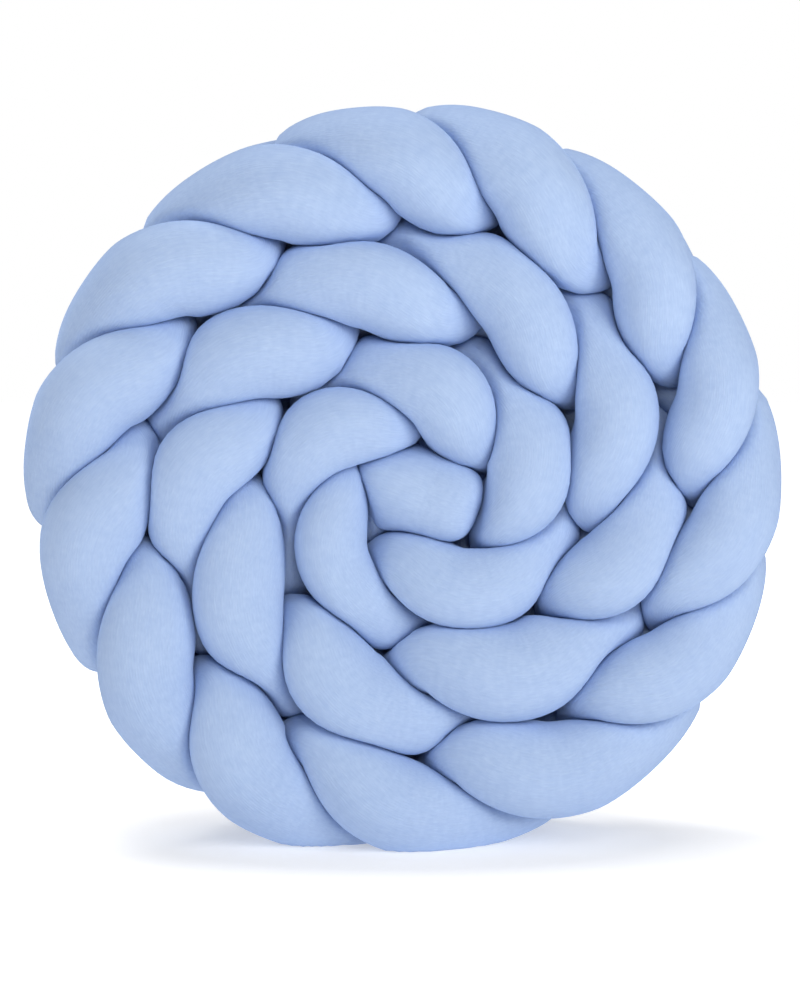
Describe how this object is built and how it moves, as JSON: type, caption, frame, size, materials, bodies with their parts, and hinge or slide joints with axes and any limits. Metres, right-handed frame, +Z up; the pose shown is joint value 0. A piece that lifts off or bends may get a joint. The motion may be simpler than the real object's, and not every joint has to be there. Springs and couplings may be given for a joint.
{
  "type": "braided crib bumper",
  "caption": "Thick stuffed jersey tubes plaited into one long soft cushion that pads a crib's sides, coiled up flat and stood on its rim.",
  "frame": {"origin": "middle of the coil's footprint on the floor", "axes": "+Z up, -Y towards the face of the coil that the picture shows, +X to the right of that view"},
  "size_m": [0.5646, 0.1639, 0.5499],
  "materials": {
    "jersey": "pale sky-blue cotton jersey, fine rib along the tube, matt"
  },
  "bodies": {
    "root": {"strand_a": "jersey", "strand_b": "jersey", "strand_c": "jersey"}
  },
  "joints": []
}
